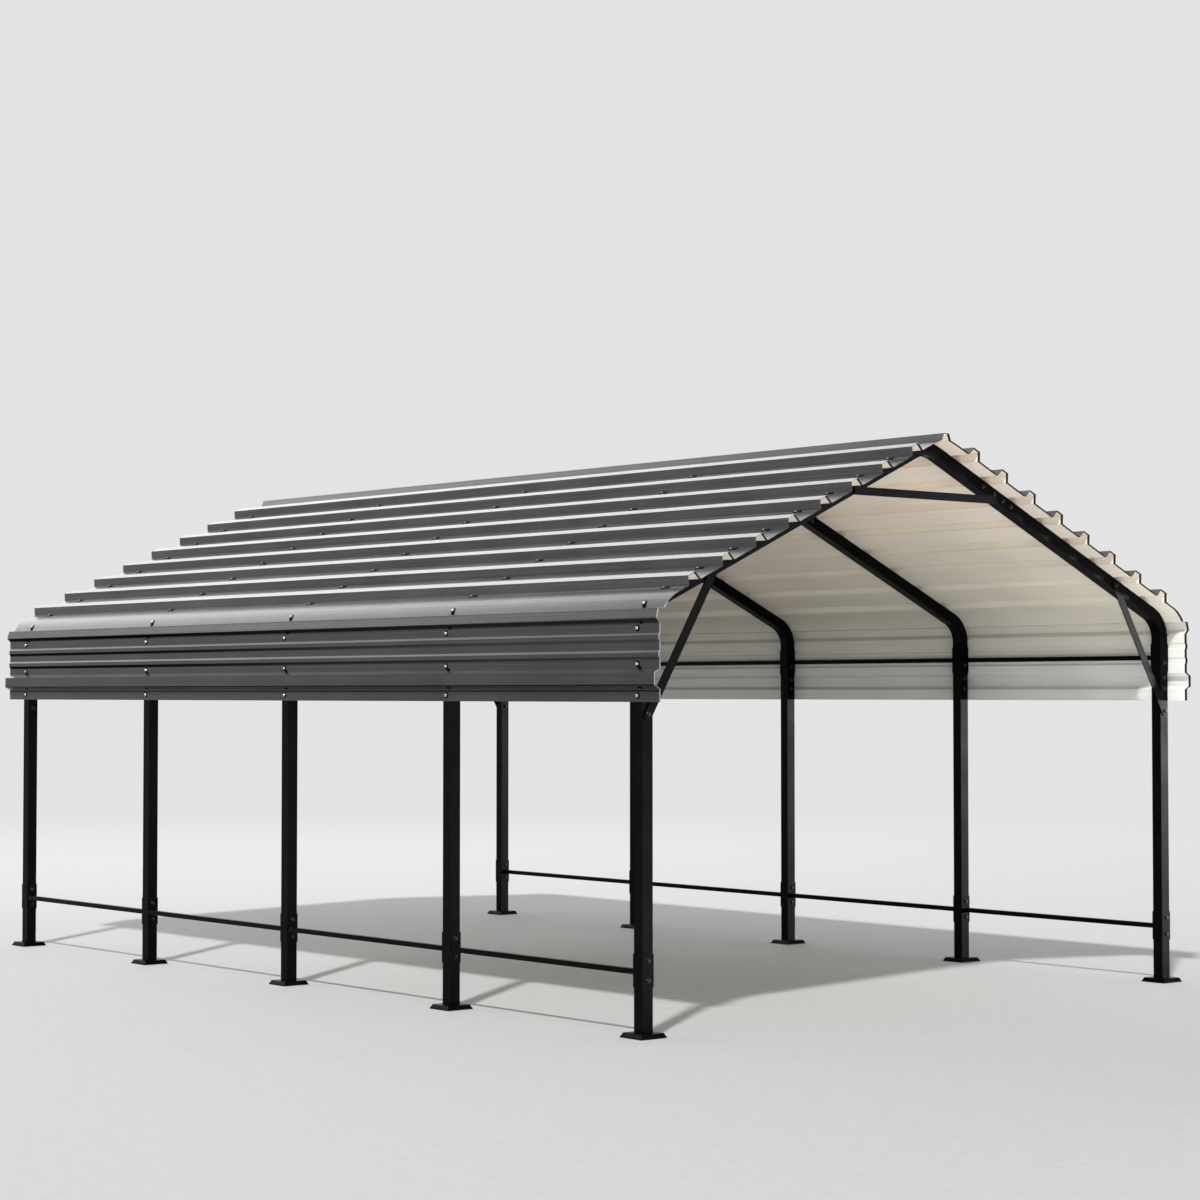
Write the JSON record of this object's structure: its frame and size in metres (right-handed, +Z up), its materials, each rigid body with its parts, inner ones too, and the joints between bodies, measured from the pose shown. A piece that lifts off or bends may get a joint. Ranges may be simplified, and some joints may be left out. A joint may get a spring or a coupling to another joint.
{
  "type": "carport",
  "caption": "Open-sided steel carport: bent square-tube bows on base plates under a ribbed sheet roof that turns down over both eaves.",
  "frame": {"origin": "on the ground, at the middle of the roof's outline", "axes": "+X to the right seen from the front, +Y from the front bow to the back, +Z up"},
  "size_m": [3.81, 6.116, 2.8157],
  "materials": {
    "frame_black": "satin black powder coat",
    "roof_metal": "semi-gloss charcoal outside, off-white inside",
    "zinc_fixings": "bright zinc plate, on the sheet screws"
  },
  "bodies": {
    "root": {"back_collar_tie": "frame_black", "back_left_brace": "frame_black", "back_right_brace": "frame_black", "front_collar_tie": "frame_black", "front_left_brace": "frame_black", "front_right_brace": "frame_black", "left_eave_panel": "roof_metal", "left_feet": "frame_black", "left_lower_rails": "frame_black", "left_lower_roof_sheet": "roof_metal", "left_lower_sleeves": "frame_black", "left_post_1": "frame_black", "left_post_2": "frame_black", "left_post_3": "frame_black", "left_post_4": "frame_black", "left_post_5": "frame_black", "left_rafter_1": "frame_black", "left_rafter_2": "frame_black", "left_rafter_3": "frame_black", "left_rafter_4": "frame_black", "left_rafter_5": "frame_black", "left_upper_rails": "frame_black", "left_upper_roof_sheet": "roof_metal", "left_upper_sleeves": "frame_black", "peak_splices": "frame_black", "peak_tube_1": "frame_black", "peak_tube_2": "frame_black", "peak_tube_3": "frame_black", "peak_tube_4": "frame_black", "peak_tube_5": "frame_black", "ridge_cap": "roof_metal", "right_eave_panel": "roof_metal", "right_feet": "frame_black", "right_lower_rails": "frame_black", "right_lower_roof_sheet": "roof_metal", "right_lower_sleeves": "frame_black", "right_post_1": "frame_black", "right_post_2": "frame_black", "right_post_3": "frame_black", "right_post_4": "frame_black", "right_post_5": "frame_black", "right_rafter_1": "frame_black", "right_rafter_2": "frame_black", "right_rafter_3": "frame_black", "right_rafter_4": "frame_black", "right_rafter_5": "frame_black", "right_upper_rails": "frame_black", "right_upper_roof_sheet": "roof_metal", "right_upper_sleeves": "frame_black"}
  },
  "joints": []
}
